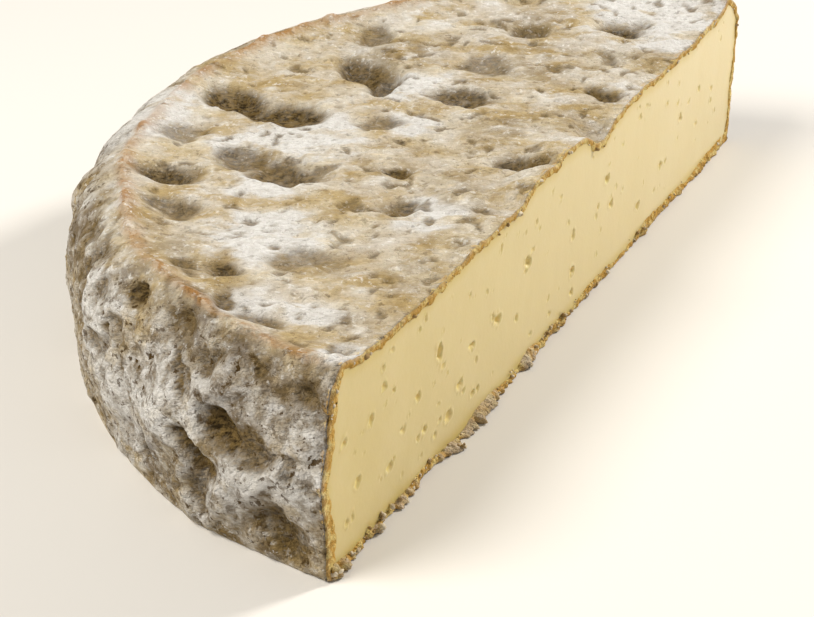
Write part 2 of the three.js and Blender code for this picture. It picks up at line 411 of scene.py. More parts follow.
def hollow(across, up, size, width, turn):
    """Depth share of rounded hollows: 1 in the middle and 0 past the edge."""
    angle = math.radians(turn)
    along = (across * math.cos(angle) + up * math.sin(angle)) / (size / 2)
    aside = (up * math.cos(angle) - across * math.sin(angle)) / (width / 2)
    return 1.0 - smoothstep(0.17, 1.4, np.hypot(along, aside))


def side_hollows():
    """The side's hollows and lumps: placed ones where it is seen, and random ones where it isn't."""
    settings = bpy.context.scene.tomme_rind
    dice = random.Random(settings.seed)
    drawn = []
    for order in range(settings.hidden):
        degrees = HIDDEN_FROM + (HIDDEN_TO - HIDDEN_FROM) * (order + dice.random()) / settings.hidden
        height = dice.uniform(7, 39)
        size = dice.uniform(5, 14)
        narrow = dice.uniform(0.45, 0.8)
        turn = dice.uniform(-40, 70)
        form = (degrees, height, size, size * narrow, turn)
        if order % 3 == 0:
            drawn.append((*form, -dice.uniform(1.0, 2.0), 0.0))
        else:
            drawn.append((*form, dice.uniform(1.2, 3.4), dice.uniform(0.5, 1.0)))
    return SIDE_HOLLOWS + drawn


def outline():
    """Radii along and back, and height, of the smooth wheel at each ring, from the top's middle down."""
    wheel = bpy.context.scene.tomme_wheel
    rim = np.array([wheel.rim_along, wheel.rim_back]) / MM
    widest = np.array([wheel.widest_along, wheel.widest_back]) / MM
    foot = np.array([wheel.foot_along, wheel.foot_back]) / MM
    rows = []
    for ring in range(LAST_RING + 1):
        if ring < RIM_RING:
            share = ring / RIM_RING
            radii = rim * share
            height = wheel.height - wheel.dish * (1 - smoothstep(0.88, 1.0, share))
        elif ring <= BULGE_RING:
            angle = (ring - RIM_RING) / UPPER_RINGS * math.pi / 2
            radii = rim + (widest - rim) * math.sin(angle)
            height = wheel.bulge + (wheel.height - wheel.bulge) * math.cos(angle)
        elif ring <= FOOT_RING:
            angle = (ring - BULGE_RING) / LOWER_RINGS * math.pi / 2
            radii = foot + (widest - foot) * math.cos(angle)
            height = wheel.bulge * (1 - math.sin(angle))
        else:
            radii = foot * (LAST_RING - ring) / BASE_RINGS
            height = 0.0
        rows.append((*radii, height / MM))
    return np.array(rows)


def rind_waves(smooth):
    """Places bent a little every way, and noise of several sizes at the smooth places."""
    warp = np.column_stack([grain(smooth, 9.0, 2, seed) for seed in (4.1, 8.3, 6.7)])
    bent = smooth + 3.0 * warp
    waves = {
        "warp": warp[:, 0],
        "broad": grain(smooth, 22.0, 2, 1.3),
        "middle": grain(smooth, 7.5, 3, 2.9),
        "fine": grain(smooth, 2.4, 2, 5.5),
        "crease": smoothstep(0.13, 0.0, np.abs(grain(bent, 15.0, 2, 9.2))),
        "pits": smoothstep(0.34, 0.6, grain(bent, 4.2, 2, 12.4)),
    }
    return bent, waves


def top_relief(smooth, bent, waves):
    """How far the top's surface is lifted, and how dark its hollows are."""
    lumps = bpy.context.scene.tomme_rind.top_lumps / MM
    wrinkle = grain(smooth @ WRINKLE_WAY, 4.0, 2, 21.3)
    lift = lumps * waves["broad"] + 0.34 * waves["middle"] + 0.18 * waves["fine"] + 0.5 * wrinkle
    lift -= 0.35 * waves["crease"] + 0.45 * waves["pits"]
    dark = 0.55 * waves["pits"]
    for along, back, size, width, turn, depth, darkness in TOP_HOLLOWS:
        share = hollow(bent[:, 0] - along, bent[:, 1] - back, size, width, turn)
        lift -= depth * share
        dark = np.maximum(dark, darkness * smoothstep(0.06, 0.7, share))
    return lift, dark


def side_relief(smooth, bent, waves, arc, radius):
    """How far the side's surface stands out, and how dark its hollows are."""
    lumps = bpy.context.scene.tomme_rind.side_lumps / MM
    cluster = smoothstep(-0.1, 0.5, grain(smooth, 30.0, 1, 3.3))
    crags = smoothstep(0.12, 0.55, grain(bent, 7.0, 2, 15.8)) * (0.15 + 0.85 * cluster)
    grit = grain(smooth, 1.3, 1, 17.7)
    out = lumps * waves["broad"] + 0.5 * waves["middle"] + 0.3 * waves["fine"] + 0.2 * grit
    out -= 1.1 * crags + 0.6 * waves["crease"] + 0.5 * waves["pits"]
    dark = np.maximum(0.7 * crags, 0.6 * waves["pits"])
    for degrees, height, size, width, turn, depth, darkness in side_hollows():
        share = hollow(arc - math.radians(degrees) * radius, bent[:, 2] - height, size, width, turn)
        out -= depth * share
        dark = np.maximum(dark, darkness * smoothstep(0.05, 0.6, share))
    return out, dark


def patch_masks(bent):
    """How far each place lies in the patches of each colour."""
    masks = {}
    for name, spots in PATCHES.items():
        mask = np.zeros(len(bent))
        for *middle, radius in spots:
            gap = np.linalg.norm(bent - np.array(middle), axis=1) / radius
            mask = np.maximum(mask, 1.0 - smoothstep(0.25, 1.3, gap))
        masks[name] = mask
    return masks


def surface(ring, theta):
    """The rind's surface at places given by ring and angle from the near end, with masks for its colours."""
    rows = outline()
    index = np.arange(len(rows))
    along, back, height = (np.interp(ring, index, rows[:, column]) for column in range(3))
    smooth = np.column_stack([-along * np.cos(theta), back * np.sin(theta), height])
    on_top = ring <= RIM_RING
    on_side = (ring > RIM_RING) & (ring <= FOOT_RING + 0.5)
    below_rim = smoothstep(0, 16, ring - RIM_RING)
    top_share = np.where(on_top, 1.0, np.where(on_side, 1.0 - below_rim, 0.0))
    side_share = np.where(on_side, below_rim * (1 - smoothstep(-8, 0, ring - FOOT_RING)), 0.0)
    fade_out = np.where(on_side | on_top, 1 - smoothstep(-4, 0, ring - FOOT_RING), 0.0)

    bent, waves = rind_waves(smooth)
    radius = rows[BULGE_RING, 0]
    top_lift, top_dark = top_relief(smooth, bent, waves)
    side_out, side_dark = side_relief(smooth, bent, waves, theta * radius + 2.0 * waves["warp"], radius)

    rim_gap = np.where(on_top, (1 - ring / RIM_RING) * rows[RIM_RING, 0], (ring - RIM_RING) * 0.9)
    crest = np.exp(-(((rim_gap + np.where(on_top, 0.6, -0.6) * waves["fine"]) / 2.2) ** 2))
    crest = np.where(on_side | on_top, crest, 0.0)
    broken = smoothstep(-0.45, 0.35, grain(smooth, 9.0, 2, 30.7))
    wander = 1.6 * grain(smooth, 26.0, 2, 7.1)
    out = side_share * side_out + fade_out * wander * smoothstep(0.72, 1.0, along / rows[RIM_RING, 0])
    held = np.where(on_top, 1.0 - 0.45 * smoothstep(0.9, 1.0, ring / RIM_RING), 0.55)
    ridge = bpy.context.scene.tomme_rind.ridge / MM
    lift = top_share * held * top_lift + ridge * crest * (0.3 + 0.65 * broken + 0.4 * waves["middle"])
    spread = 1.0 + out / np.maximum(np.hypot(smooth[:, 0], smooth[:, 1]), 1.0)
    moved = np.column_stack([smooth[:, 0] * spread, smooth[:, 1] * spread, smooth[:, 2] + lift])
    moved[:, 2] = np.maximum(moved[:, 2], 0.0)

    raised = 0.5 * waves["broad"] + 0.8 * waves["middle"] + (0.4 + 0.5 * side_share) * waves["fine"]
    masks = {
        "dark": np.clip(np.maximum(top_dark * top_share, side_dark * side_share), 0, 1),
        "rim": crest * (0.45 + 0.55 * broken),
        "side": side_share,
        "lump": 0.5 + 0.5 * np.clip(raised, -1, 1),
        **patch_masks(bent),
    }
    return moved, masks


def cut_outline(steps):
    """Places round the cut's outline, from the top's middle to the far end, the foot and the near end, with
    the rind's masks there and each place's way outwards."""
    half = np.concatenate([
        np.linspace(0, RIM_RING, int(steps * 0.24), endpoint=False),
        np.linspace(RIM_RING, FOOT_RING, int(steps * 0.06), endpoint=False),
        np.linspace(FOOT_RING, LAST_RING, int(steps * 0.2), endpoint=False),
    ])
    ring = np.concatenate([half, [LAST_RING], half[:0:-1]])
    theta = np.concatenate([np.full(len(half), math.pi), [0.0], np.zeros(len(half) - 1)])
    places, masks = surface(ring, theta)
    ahead = np.roll(places, -2, axis=0) - np.roll(places, 2, axis=0)
    outward = np.column_stack([-ahead[:, 2], np.zeros(len(places)), ahead[:, 0]])
    outward /= np.maximum(np.linalg.norm(outward, axis=1), 1e-6)[:, None]
    return ring, places, outward, masks


def to_frame(points):
    """Wheel millimetres to metres in the part's frame."""
    return points * MM + np.array([0.0, bpy.context.scene.tomme_wheel.cut_y, 0.0])


def add_masks(mesh, masks):
    """Keeps masks on the mesh, one value for each vertex."""
    for name, values in masks.items():
        kept = mesh.attributes.get(name) or mesh.attributes.new(name, "FLOAT", "POINT")
        kept.data.foreach_set("value", np.asarray(values, np.float32))


def set_places(mesh, points):
    """Moves the mesh's vertices to the given places."""
    mesh.vertices.foreach_set("co", np.asarray(points, np.float32).ravel())
    mesh.update()


def get_places(mesh):
    """The places of the mesh's vertices."""
    values = np.empty(len(mesh.vertices) * 3, np.float32)
    mesh.vertices.foreach_get("co", values)
    return values.reshape(-1, 3).astype(float)


def get_mask(mesh, name):
    """A mask that is kept on the mesh."""
    values = np.empty(len(mesh.vertices), np.float32)
    mesh.attributes[name].data.foreach_get("value", values)
    return values.astype(float)


def corner_table(mesh):
    """For each face corner its vertex, and for each face its first corner and number of corners."""
    vertex = np.empty(len(mesh.loops), np.int32)
    mesh.loops.foreach_get("vertex_index", vertex)
    start = np.empty(len(mesh.polygons), np.int32)
    mesh.polygons.foreach_get("loop_start", start)
    total = np.empty(len(mesh.polygons), np.int32)
    mesh.polygons.foreach_get("loop_total", total)
    return vertex, start, total


def face_mean(values, table):
    """A vertex value's mean over each face, given at every corner of the face."""
    vertex, start, total = table
    means = np.add.reduceat(values[vertex], start) / total
    return np.repeat(means, total)


def unwrap_step(values, table, count):
    """Corner values of a counter that runs round a loop, carried past the end in faces that cross it."""
    vertex, start, total = table
    corner = values[vertex].astype(float)
    highest = np.repeat(np.maximum.reduceat(corner, start), total)
    return np.where(highest - corner > count / 2, corner + count, corner)


def set_map(mesh, across, up):
    """Lays the piece out flat, as a map from 0 to 1 both ways."""
    layer_map = mesh.uv_layers.new(name="OFBake")
    layer_map.data.foreach_set("uv", np.column_stack([across, up]).astype(np.float32).ravel())


def finish_piece(mesh, name, material):
    """Makes an object of a finished mesh and ties it to the part."""
    for polygon in mesh.polygons:
        polygon.use_smooth = True
    mesh.materials.append(material)
    piece = bpy.data.objects.new(name, mesh)
    bpy.context.scene.collection.objects.link(piece)
    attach(piece, "root")
    return piece


def build_rind():
    """The rind: the outline spun half round, given its relief and closed behind the paste."""
    settings = bpy.context.scene.tomme_rind
    rows = outline()
    shell = bmesh.new()
    ring_layer = shell.verts.layers.float.new("ring")
    verts = []
    for ring, (along, _, height) in enumerate(rows):
        vert = shell.verts.new((-along, 0.0, height))
        vert[ring_layer] = ring
        verts.append(vert)
    edges = [shell.edges.new(pair) for pair in zip(verts, verts[1:])]
    bmesh.ops.spin(shell, geom=verts + edges, cent=(0, 0, 0), axis=(0, 0, 1), dvec=(0, 0, 0), angle=-math.pi,
                   steps=settings.spokes, use_duplicate=False)
    poles = [vert for vert in shell.verts if math.hypot(vert.co.x, vert.co.y) < 1e-4]
    bmesh.ops.remove_doubles(shell, verts=poles, dist=1e-3)
    mesh = bpy.data.meshes.new("rind")
    shell.to_mesh(mesh)
    shell.free()

    round_places = get_places(mesh)
    ring = get_mask(mesh, "ring")
    theta = np.arctan2(np.maximum(round_places[:, 1], 0.0), -round_places[:, 0])
    theta = np.where(np.hypot(round_places[:, 0], round_places[:, 1]) < 1e-3, math.pi / 2, theta)
    moved, masks = surface(ring, theta)
    set_places(mesh, moved)
    add_masks(mesh, {**masks, "edge": np.zeros(len(ring))})

    outer_count = len(mesh.vertices)
    shell = bmesh.new()
    shell.from_mesh(mesh)
    wall = settings.thickness / MM
    middle = rows[RIM_RING, 2] / 2
    loop = [edge for edge in shell.edges if edge.is_boundary]
    for step, back in ((wall * 0.6, 0.3), (wall * 0.7, 1.2), (wall * 2.0, 7.0)):
        made = bmesh.ops.extrude_edge_only(shell, edges=loop)["geom"]
        for vert in made:
            if not isinstance(vert, bmesh.types.BMVert):
                continue
            vert.co.x *= 1 - step / rows[BULGE_RING, 0]
            vert.co.z += (middle - vert.co.z) / middle * step
            vert.co.y = back
        loop = [edge for edge in shell.edges if edge.is_boundary]
    bmesh.ops.edgeloop_fill(shell, edges=loop)
    bmesh.ops.recalc_face_normals(shell, faces=shell.faces)
    shell.to_mesh(mesh)
    shell.free()
    map_rind(mesh, outer_count)
    set_places(mesh, to_frame(get_places(mesh)))
    piece = finish_piece(mesh, "rind", rind_material())
    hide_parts(NODE)


def map_rind(mesh, outer_count):
    """Flat map of the rind: top, side, base and the hidden wall behind the paste, one above the other."""
    table = corner_table(mesh)
    vertex = table[0]
    x, y, z = get_places(mesh).T
    ring = get_mask(mesh, "ring")
    theta = np.arctan2(np.maximum(y, 0.0), -x)
    hidden = face_mean((np.arange(len(x)) >= outer_count).astype(float), table) > 0
    ring_mean = face_mean(ring, table)
    on_top = ring_mean < RIM_RING
    on_side = (ring_mean >= RIM_RING) & (ring_mean < FOOT_RING)
    span = 2 * RIND_REACH
    wide = 0.01 + (x[vertex] + RIND_REACH) / span * 0.98
    half = 0.01 + (x[vertex] + RIND_REACH) / span * 0.47
    across = np.where(on_top, wide, np.where(on_side, 0.01 + 0.98 * theta[vertex] / math.pi, half))
    up_top = 0.5 + y[vertex] / span * 0.98
    up_side = 0.27 + 0.2 * (ring[vertex] - RIM_RING) / (FOOT_RING - RIM_RING)
    up_base = 0.01 + y[vertex] / span * 0.47
    up = np.where(on_top, up_top, np.where(on_side, up_side, up_base))
    across = np.where(hidden, half + 0.5, across)
    up = np.where(hidden, 0.03 + z[vertex] / span * 0.47 + 0.01 * y[vertex], up)
    set_map(mesh, across, np.clip(up, 0.0, 1.0))


def paste_outline():
    """The cut's outline as the top's height over x, and the two ends' reach over z."""
    ring, places, _, _ = cut_outline(OUTLINE_STEPS)
    on_top = ring <= RIM_RING
    order = np.argsort(places[on_top, 0])
    top = places[on_top][order]
    ends = {}
    for name, way in (("far", 1), ("near", -1)):
        side = (ring >= RIM_RING) & (ring <= FOOT_RING) & (places[:, 0] * way > 0)
        chosen = places[side][np.argsort(places[side, 2])]
        ends[name] = (chosen[:, 2], chosen[:, 0] * way)
    return (top[:, 0], top[:, 2]), ends


def small_eyes():
    """Pin-prick eyes at random places of the cut face."""
    settings = bpy.context.scene.tomme_paste
    dice = random.Random(settings.seed)
    drawn = []
    for _ in range(settings.small_eyes):
        size = dice.uniform(0.7, 1.5)
        spot = (dice.uniform(-100, 98), dice.uniform(4, 38))
        drawn.append((*spot, size * dice.uniform(1.0, 1.8), size * 0.8, dice.uniform(35, 85)))
    return drawn


def sink_eyes(face):
    """How deep the eyes sink at each place of the cut face, and how far their rims stand out."""
    x, _, z = face.T
    share = bpy.context.scene.tomme_paste.eye_depth
    sunk = np.zeros(len(x))
    raised = np.zeros(len(x))
    wobble = np.column_stack([grain(face, 1.6, 2, 3.7), grain(face, 1.6, 2, 9.9)])
    for along, up, size, breadth, turn in EYES + small_eyes():
        close = (np.abs(x - along) < size) & (np.abs(z - up) < size)
        across = x[close] - along + 0.75 * wobble[close, 0]
        rise = z[close] - up + 0.75 * wobble[close, 1]
        angle = math.radians(turn)
        lengthways = (across * math.cos(angle) + rise * math.sin(angle)) / (size * 0.28)
        sideways = (rise * math.cos(angle) - across * math.sin(angle)) / (breadth * 0.58)
        gap = np.hypot(lengthways, sideways)
        depth = breadth * share * np.sqrt(np.clip(1 - gap * gap, 0, 1))
        sunk[close] = np.maximum(sunk[close], depth)
        raised[close] = np.maximum(raised[close], 0.17 * np.exp(-(((gap - 1.2) / 0.16) ** 2)))
    return sunk, raised


def build_paste():
    """The paste: a fine grid fitted inside the rind's cut edge, sunk at its eyes and given a back."""
    settings = bpy.context.scene.tomme_paste
    wheel = bpy.context.scene.tomme_wheel
    wall = bpy.context.scene.tomme_rind.thickness / MM
    width = 2 * wheel.widest_along / MM
    height = wheel.height / MM
    columns = int(width * MM / settings.spacing)
    rows = int(height * MM / settings.spacing)
    grid = bmesh.new()
    bmesh.ops.create_grid(grid, x_segments=columns, y_segments=rows, size=1.0)
    mesh = bpy.data.meshes.new("paste")
    grid.to_mesh(mesh)
    grid.free()
    flat = get_places(mesh)
    (top_x, top_z), ends = paste_outline()
    inner = wall * 0.3
    x = flat[:, 0] * (wheel.rim_along / MM - inner)
    z = inner + (flat[:, 1] * 0.5 + 0.5) * (np.interp(x, top_x, top_z) - 2 * inner)
    far = np.interp(z, *ends["far"]) - inner
    near = np.interp(z, *ends["near"]) - inner
    x = np.where(flat[:, 0] > 0, flat[:, 0] * far, flat[:, 0] * near)
    face = np.column_stack([x, np.zeros(len(x)), z])
    knife = 0.22 * grain(face, 34.0, 2, 2.2) + 0.04 * grain(face * np.array([1, 1, 0.6]), 7.0, 2, 6.1)
    sunk, raised = sink_eyes(face)
    face[:, 1] = knife + np.where(sunk > 0, sunk, -raised)
    border = np.minimum(np.minimum(z - inner, np.interp(x, top_x, top_z) - inner - z),
                        np.where(x > 0, far - x, near + x))
    set_places(mesh, face)
    add_masks(mesh, {"skin": np.clip(border, 0, 30), "eye": smoothstep(0.0, 0.6, sunk)})

    grid = bmesh.new()
    grid.from_mesh(mesh)
    loop = [edge for edge in grid.edges if edge.is_boundary]
    made = bmesh.ops.extrude_edge_only(grid, edges=loop)["geom"]
    for vert in made:
        if isinstance(vert, bmesh.types.BMVert):
            vert.co.x *= 0.96
            vert.co.y = settings.depth / MM
            vert.co.z += (height / 2 - vert.co.z) * 0.2
    loop = [edge for edge in grid.edges if edge.is_boundary]
    bmesh.ops.edgeloop_fill(grid, edges=loop)
    bmesh.ops.recalc_face_normals(grid, faces=grid.faces)
    grid.to_mesh(mesh)
    grid.free()
    map_paste(mesh, len(x))
    set_places(mesh, to_frame(get_places(mesh)))
    piece = finish_piece(mesh, "paste", paste_material())
    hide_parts(NODE)


def map_paste(mesh, face_count):
    """Flat map of the paste: the cut face in two halves, and its hidden back below them."""
    table = corner_table(mesh)
    vertex = table[0]
    x, y, z = get_places(mesh).T
    hidden = face_mean((np.arange(len(x)) >= face_count).astype(float), table) > 0
    near = face_mean(x, table) < 0
    across = np.where(near, (x[vertex] + PASTE_REACH) / PASTE_REACH, x[vertex] / PASTE_REACH)
    across = np.where(hidden, (x[vertex] + PASTE_REACH) / (2 * PASTE_REACH), across)
    up = np.where(near, 0.6, 0.2) + z[vertex] / PASTE_REACH
    up = np.where(hidden, 0.01 + z[vertex] / 300 + 0.005 * y[vertex], up)
    set_map(mesh, 0.01 + 0.98 * across, up)


def foot_share(ring):
    """How far each place of the cut's outline belongs to the foot."""
    return smoothstep(FOOT_RING - 4, FOOT_RING + 0.5, ring)


def torn_lip(places, ring):
    """How far the cut rind stands out of the cut plane: frilled at the foot, slight elsewhere."""
    ragged = np.clip(0.45 + 0.9 * grain(places, 9.0, 2, 5.9), 0, 1)
    frill = np.clip(0.6 + 0.8 * grain(places, 1.9, 2, 13.1), 0, 1.2)
    near_half = 1 - smoothstep(-70, 40, places[:, 0])
    foot = bpy.context.scene.tomme_rind.foot_lip / MM * ragged * frill * (0.4 + 0.6 * near_half) + 0.15
    at_foot = foot_share(ring)
    return foot * at_foot + (0.15 + 0.4 * ragged * frill) * (1 - at_foot)


def band_thickness(places, ring):
    """Thickness of the rind that shows round the cut, uneven all round and most of all at the foot."""
    wall = bpy.context.scene.tomme_rind.thickness / MM
    at_foot = foot_share(ring)
    slow = grain(places, 17.0, 2, 1.1)
    quick = grain(places, 4.0, 2, 2.3)
    at_near = smoothstep(-100, -107, places[:, 0])
    return wall * (1 + 0.6 * at_near) * np.clip(0.9 + (0.3 + 0.8 * at_foot) * slow + 0.3 * quick, 0.35, 2.6)


def build_cut_edge():
    """The cut edge of the rind: a loop round the cut, extruded through the band's section and closed."""
    ring, places, outward, masks = cut_outline(EDGE_STEPS)
    lip = torn_lip(places, ring)
    at_foot = foot_share(ring)
    thick = band_thickness(places, ring)
    count = len(places)
    band = bmesh.new()
    step_layer = band.verts.layers.float.new("step")
    row_layer = band.verts.layers.float.new("row")
    verts = bmesh.ops.create_circle(band, cap_ends=False, segments=count, radius=1.0)["verts"]
    for step, vert in enumerate(verts):
        vert[step_layer] = step
    loop = list(band.edges)
    first = loop
    for row, (inset, back, forward, _) in enumerate(BAND_SECTION):
        if row:
            made = bmesh.ops.extrude_edge_only(band, edges=loop)["geom"]
            verts = [part for part in made if isinstance(part, bmesh.types.BMVert)]
            loop = [part for part in made if isinstance(part, bmesh.types.BMEdge)]
        points = places - outward * (inset * thick)[:, None]
        points[:, 1] = back + forward * lip
        points[:, 2] = np.maximum(points[:, 2], 0.02)
        if back < 1.0:
            rough = 0.22 * grain(points, 1.5, 2, 4.4) + 0.16 * grain(points, 0.7, 1, 6.6)
            points[:, 1] += rough * (1 + 0.9 * at_foot)
            points -= outward * (0.8 * np.abs(rough))[:, None]
        for vert in verts:
            vert[row_layer] = row
            vert.co = points[int(vert[step_layer])]
    bmesh.ops.bridge_loops(band, edges=first + loop)
    bmesh.ops.recalc_face_normals(band, faces=band.faces)
    mesh = bpy.data.meshes.new("cut_edge")
    band.to_mesh(mesh)
    band.free()
    step = get_mask(mesh, "step").astype(int)
    row = get_mask(mesh, "row").astype(int)
    cut = np.array([share for *_, share in BAND_SECTION])[row] * (1 - 0.65 * smoothstep(0.6, 2.0, lip))[step]
    spread = {name: values[step] for name, values in masks.items()}
    spread["dark"] *= 1 - cut
    add_masks(mesh, {**spread, "edge": cut})
    map_band(mesh, step, row, count)
    set_places(mesh, to_frame(get_places(mesh)))
    piece = finish_piece(mesh, "cut_edge", rind_material())
    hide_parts(NODE)


def map_band(mesh, step, row, count):
    """Flat map of the cut edge: its length in four strips."""
    table = corner_table(mesh)
    _, start, total = table
    along = unwrap_step(step, table, count) / count * 4
    place = unwrap_step(row, table, len(BAND_SECTION)) / len(BAND_SECTION)
    strip = np.floor(np.repeat(np.minimum.reduceat(along, start), total) + 1e-6)
    set_map(mesh, 0.01 + 0.97 * (along - strip), 0.01 + strip * 0.245 + 0.22 * place)


def build_crumbs():
    """Crumbs of torn rind along the foot of the cut, with a few on the rest of its edge."""
    settings = bpy.context.scene.tomme_crumbs
    dice = random.Random(settings.seed)
    ring, places, outward, _ = cut_outline(OUTLINE_STEPS)
    lip = torn_lip(places, ring)
    foot = np.flatnonzero(ring >= FOOT_RING)
    rest = np.flatnonzero((ring > 1) & (ring < FOOT_RING))
    crumbs = bmesh.new()
    for order in range(settings.count):
        low = order < settings.count * 0.8
        spot = dice.choice(foot if low else rest)
        if low and places[spot, 0] > dice.uniform(-110, 170):
            continue
        size = (settings.smallest + (settings.largest - settings.smallest) * dice.random() ** 2.2) / MM
        inward = dice.uniform(0.2, 2.6) if low else dice.uniform(0.2, 1.6)
        middle = Vector(places[spot] - outward[spot] * inward)
        middle.y = -lip[spot] * dice.uniform(0.3, 1.05)
        middle.z = max(middle.z, size * 0.45)
        made = bmesh.ops.create_icosphere(crumbs, subdivisions=1, radius=size / 2)["verts"]
        stretch = Matrix.Diagonal((dice.uniform(0.7, 1.5), dice.uniform(0.6, 1.2), dice.uniform(0.5, 1.0)))
        turn = Matrix.Rotation(dice.uniform(0, math.tau), 3, "Z")
        turn = turn @ Matrix.Rotation(dice.uniform(-0.6, 0.6), 3, "X")
        for vert in made:
            lumpy = 1 + 0.35 * noise.noise(vert.co / size * 3 + middle)
            vert.co = turn @ stretch @ vert.co * lumpy + middle
            vert.co.z = max(vert.co.z, 0.02)
    mesh = bpy.data.meshes.new("crumbs")
    crumbs.to_mesh(mesh)
    crumbs.free()
    set_places(mesh, to_frame(get_places(mesh)))
    finish_piece(mesh, "crumbs", crumb_material())


def node(tree, kind, **values):
    """A node with the given properties; a key that starts with an underscore is an input socket's name."""
    made = tree.nodes.new(kind)
    for key, value in values.items():
        if key.startswith("_"):
            made.inputs[key[1:].replace("_", " ")].default_value = value
        else:
            setattr(made, key, value)
    return made


def mottle_group():
    """Node group: a mask of soft patches of a given size, cut between two levels."""
    found = bpy.data.node_groups.get("Tomme Mottle")
    if found:
        return found
    group = bpy.data.node_groups.new("Tomme Mottle", "ShaderNodeTree")
    inputs = {"Size": 0.01, "Detail": 3.0, "Low": 0.4, "High": 0.6, "Shift": 0.0, "Stretch": 1.0}
    for name, default in inputs.items():
        socket = group.interface.new_socket(name, in_out="INPUT", socket_type="NodeSocketFloat")
        socket.default_value = default
    group.interface.new_socket("Mask", in_out="OUTPUT", socket_type="NodeSocketFloat")
    entry = node(group, "NodeGroupInput")
    leave = node(group, "NodeGroupOutput")
    place = node(group, "ShaderNodeTexCoord")
    moved = node(group, "ShaderNodeVectorMath", operation="ADD")
    ratio = node(group, "ShaderNodeCombineXYZ", _Y=1.0, _Z=1.0)
    drawn = node(group, "ShaderNodeMapping", vector_type="TEXTURE", _Rotation=(0.0, 0.0, WRINKLE_TURN))
    inverse = node(group, "ShaderNodeMath", operation="DIVIDE")
    inverse.inputs[0].default_value = 1.0
    pattern = node(group, "ShaderNodeTexNoise", _Roughness=0.6)
    cut = node(group, "ShaderNodeMapRange", interpolation_type="SMOOTHSTEP")
    link = group.links.new
    link(place.outputs["Object"], moved.inputs[0])
    link(entry.outputs["Shift"], moved.inputs[1])
    link(entry.outputs["Size"], inverse.inputs[1])
    link(moved.outputs[0], drawn.inputs["Vector"])
    link(entry.outputs["Stretch"], ratio.inputs["X"])
    link(ratio.outputs[0], drawn.inputs["Scale"])
    link(drawn.outputs[0], pattern.inputs["Vector"])
    link(inverse.outputs[0], pattern.inputs["Scale"])
    link(entry.outputs["Detail"], pattern.inputs["Detail"])
    link(pattern.outputs["Fac"], cut.inputs["Value"])
    link(entry.outputs["Low"], cut.inputs["From Min"])
    link(entry.outputs["High"], cut.inputs["From Max"])
    link(cut.outputs["Result"], leave.inputs["Mask"])
    return group


def mottle(tree, size, low, high, detail=3.0, shift=0.0, stretch=1.0):
    """A mask from the shared group: noise of a size in metres, cut between two levels."""
    made = node(tree, "ShaderNodeGroup", node_tree=mottle_group())
    values = {"Size": size, "Low": low, "High": high, "Detail": detail, "Shift": shift, "Stretch": stretch}
    for name, value in values.items():
        made.inputs[name].default_value = value
    return made.outputs["Mask"]


def attribute(tree, name):
    """A mask of the mesh, as the material reads it."""
    return node(tree, "ShaderNodeAttribute", attribute_name=name).outputs["Fac"]


def feed(tree, socket, value):
    """Links an output to a socket, or sets the socket to a plain value."""
    if isinstance(value, bpy.types.NodeSocket):
        tree.links.new(value, socket)
    else:
        socket.default_value = value


def combine(tree, operation, *values):
    """A sum worked out on masks and numbers."""
    made = node(tree, "ShaderNodeMath", operation=operation)
    for socket, value in zip(made.inputs, values):
        feed(tree, socket, value)
    return made.outputs[0]


def times(tree, first, second):
    """The product of two masks."""
    return combine(tree, "MULTIPLY", first, second)


def scaled(tree, mask, scale, base=0.0):
    """A mask made stronger or weaker, and raised."""
    return combine(tree, "MULTIPLY_ADD", mask, scale, base)


def layer(tree, below, colour, mask):
    """Mixes a plain colour, or another colour output, over the one below by a mask."""
    made = node(tree, "ShaderNodeMix", data_type="RGBA")
    tree.links.new(mask, made.inputs["Factor"])
    feed(tree, made.inputs[6], below)
    feed(tree, made.inputs[7], colour)
    return made.outputs[2]


def new_material(name):
    """A material, its node tree and its shader."""
    material = bpy.data.materials.new(name)
    material.use_nodes = True
    tree = material.node_tree
    return material, tree, tree.nodes["Principled BSDF"]


def add_bump(tree, shader, height, strength, distance):
    """Fine relief from a mask."""
    bump = node(tree, "ShaderNodeBump", _Strength=strength, _Distance=distance)
    tree.links.new(height, bump.inputs["Height"])
    tree.links.new(bump.outputs["Normal"], shader.inputs["Normal"])


def bare_rind(tree, marks):
    """Cream felt with tan and ochre stains, greyer on the side."""
    tints = bpy.context.scene.tomme_colours
    side = marks["side"]
    colour = layer(tree, tints.cream, tints.tan, mottle(tree, 0.014, 0.36, 0.58, 5.0))
    stains = times(tree, mottle(tree, 0.006, 0.48, 0.64, 5.0, 7.0), scaled(tree, side, 0.3, 0.55))
    colour = layer(tree, colour, tints.ochre, stains)
    grey = times(tree, mottle(tree, 0.011, 0.44, 0.62, 4.0, 3.0), scaled(tree, side, 0.65))
    return layer(tree, colour, paint(158, 148, 132), grey)


